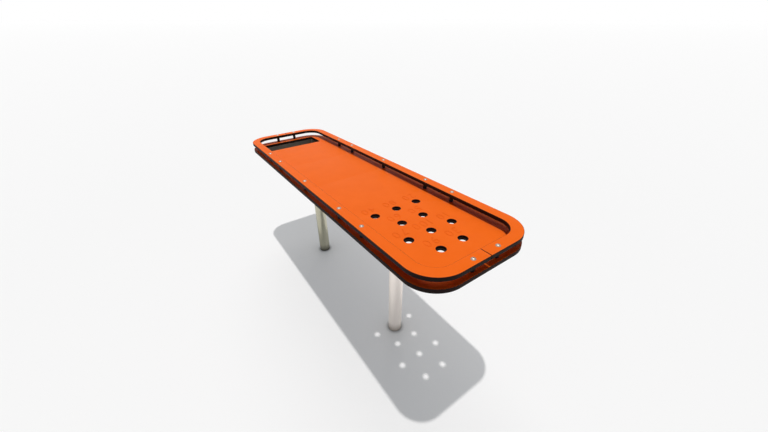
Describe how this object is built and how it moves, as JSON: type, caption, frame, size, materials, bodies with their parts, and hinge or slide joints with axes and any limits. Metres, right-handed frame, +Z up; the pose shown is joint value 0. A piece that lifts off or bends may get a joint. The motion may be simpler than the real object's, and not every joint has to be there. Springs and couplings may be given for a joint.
{
  "type": "outdoor bagatelle table",
  "caption": "Sloping ball table on two round posts, with a raised rim on spacers, numbered ball holes and a ball return slot.",
  "frame": {"origin": "on the ground, under the middle of the table's length and width", "axes": "+X along the table towards its high end with the ball holes, +Y to the player's left, +Z up"},
  "size_m": [2.011, 0.56, 0.8992],
  "materials": {
    "laminate": "orange melamine faces over a black phenolic core, satin, fine grain",
    "spacer_plastic": "black moulded nylon, satin",
    "stainless": "stainless steel fasteners, bright",
    "post_steel": "stainless steel tube, satin ground along its length",
    "plate_steel": "stainless steel flat bar and sheet, dull",
    "brass": "turned brass"
  },
  "bodies": {
    "root": {"playing_board": "laminate", "rim_left_half": "laminate", "rim_right_half": "laminate", "rim_spacers": "spacer_plastic", "rim_bolts": "stainless", "rim_washers": "stainless", "rim_cap_nuts": "stainless", "high_post": "post_steel", "low_post": "post_steel", "high_cross_plate": "plate_steel", "low_cross_plate": "plate_steel", "high_plate_screws": "stainless", "low_plate_screws": "stainless", "high_plate_washers": "stainless", "low_plate_washers": "stainless", "high_plate_inserts": "brass", "low_plate_inserts": "brass", "ball_tray": "plate_steel", "tray_screws": "stainless", "tray_washers": "stainless", "tray_inserts": "brass"}
  },
  "joints": []
}
